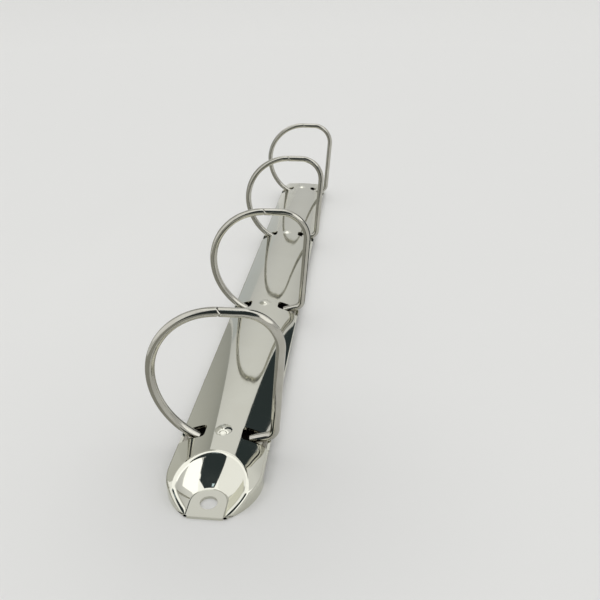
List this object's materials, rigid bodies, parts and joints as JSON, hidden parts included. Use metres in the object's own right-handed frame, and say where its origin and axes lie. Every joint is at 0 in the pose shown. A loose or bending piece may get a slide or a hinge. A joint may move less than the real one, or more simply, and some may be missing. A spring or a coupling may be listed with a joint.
{
  "type": "ring binder mechanism",
  "caption": "Closed D-ring binder mechanism: an arched nickel-plated cover plate with dished rivet tabs, and wire rings that open on hinge plates inside it.",
  "frame": {"origin": "on the board that the tabs are riveted to, midway between the two rivet holes", "axes": "+Y along the mechanism, +Z away from the board towards the rings, +X towards the straight-legged ring halves"},
  "size_m": [0.0386, 0.292, 0.0465],
  "materials": {
    "cover_nickel": "polished nickel plate on pressed steel",
    "hinge_plate_nickel": "plain nickel plate on rolled steel",
    "ring_nickel": "nickel plate on drawn steel wire"
  },
  "bodies": {
    "cover": {"cover_plate": "cover_nickel"},
    "left_leaf": {"left_hinge_plate": "hinge_plate_nickel", "left_ring_1": "ring_nickel", "left_ring_2": "ring_nickel", "left_ring_3": "ring_nickel", "left_ring_4": "ring_nickel"},
    "right_leaf": {"right_hinge_plate": "hinge_plate_nickel", "right_ring_1": "ring_nickel", "right_ring_2": "ring_nickel", "right_ring_3": "ring_nickel", "right_ring_4": "ring_nickel"}
  },
  "joints": [
    {"name": "left_leaf_hinge", "type": "hinge", "parent": "cover", "child": "left_leaf", "pos_m": [-0.01162, 0, 0.00298], "axis": [0, -1, 0], "range_deg": [0, 20]},
    {"name": "right_leaf_hinge", "type": "hinge", "parent": "cover", "child": "right_leaf", "pos_m": [0.01162, 0, 0.00298], "axis": [0, 1, 0], "range_deg": [0, 20]}
  ],
  "couplings": [
    {"joint": "right_leaf_hinge", "follows": "left_leaf_hinge", "ratio": 1}
  ]
}
